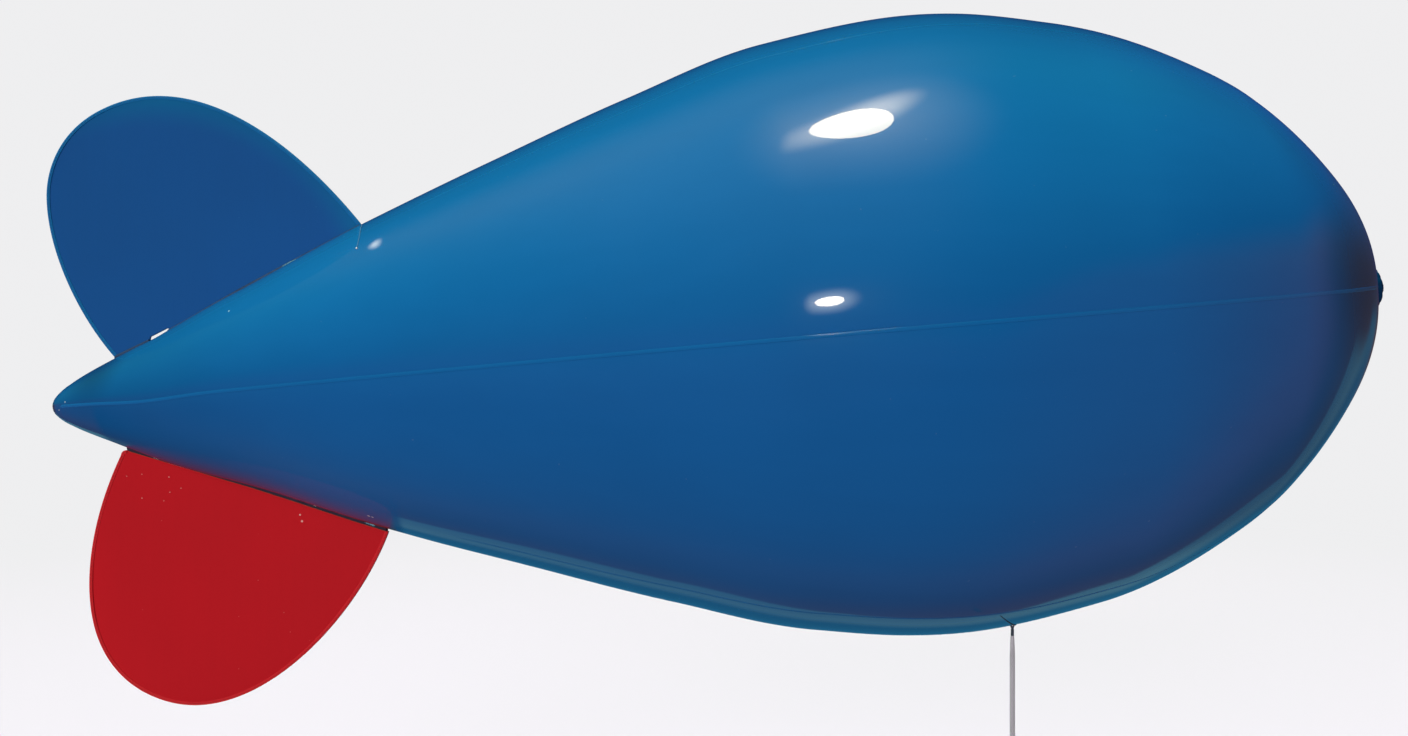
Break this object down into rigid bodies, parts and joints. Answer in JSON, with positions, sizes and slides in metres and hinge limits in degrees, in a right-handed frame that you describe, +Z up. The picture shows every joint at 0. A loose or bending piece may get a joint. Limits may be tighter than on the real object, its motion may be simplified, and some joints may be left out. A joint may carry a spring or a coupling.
{
  "type": "advertising blimp balloon",
  "caption": "Helium advertising blimp: tapered film hull of seamed gores, upright tail fins, tied filling neck and a tether.",
  "frame": {"origin": "centre of buoyancy of the hull, on its long axis, where the air holds it up", "axes": "+Z up, +X towards the nose along the ground, +Y to the hull's own left; the hull stands 5.3 degrees nose up in this frame and its tether hangs along -Z"},
  "size_m": [3.3554, 1.4928, 1.9694],
  "materials": {
    "blue_film": "glossy coated film",
    "seam_film": "welded film, a little paler",
    "blue_fin": "satin film",
    "red_fin": "satin film",
    "dark_strip": "dark tape",
    "webbing": "woven",
    "rope": "braided rope",
    "steel": "satin steel"
  },
  "bodies": {
    "balloon": {"gore_near_upper": "blue_film", "gore_top": "blue_film", "gore_far_upper": "blue_film", "gore_far_lower": "blue_film", "gore_bottom": "blue_film", "gore_near_lower": "blue_film", "seam_near": "seam_film", "seam_near_top": "seam_film", "seam_far_top": "seam_film", "seam_far": "seam_film", "seam_far_bottom": "seam_film", "seam_near_bottom": "seam_film", "tail_cap": "blue_film", "nose_patch": "blue_film", "filling_neck": "blue_film", "neck_end": "blue_film", "neck_tie": "dark_strip", "top_fin": "blue_fin", "top_fin_edging": "blue_fin", "top_fin_strip_aft": "dark_strip", "top_fin_strip_fore": "dark_strip", "bottom_fin": "red_fin", "bottom_fin_edging": "red_fin", "bottom_fin_strip": "dark_strip", "belly_patch": "blue_film", "belly_loop": "webbing"},
    "tether": {"tether_eye": "webbing", "tether_whipping": "webbing", "tether_splice": "rope", "tether_rope": "rope", "tether_sleeve": "webbing", "tether_low_eye": "rope", "tether_link": "steel"}
  },
  "joints": [
    {"name": "tether_swing", "type": "hinge", "parent": "balloon", "child": "tether", "pos_m": [0.4269, 0, -0.7225], "axis": [0, 1, 0], "range_deg": [-60, 60]}
  ]
}
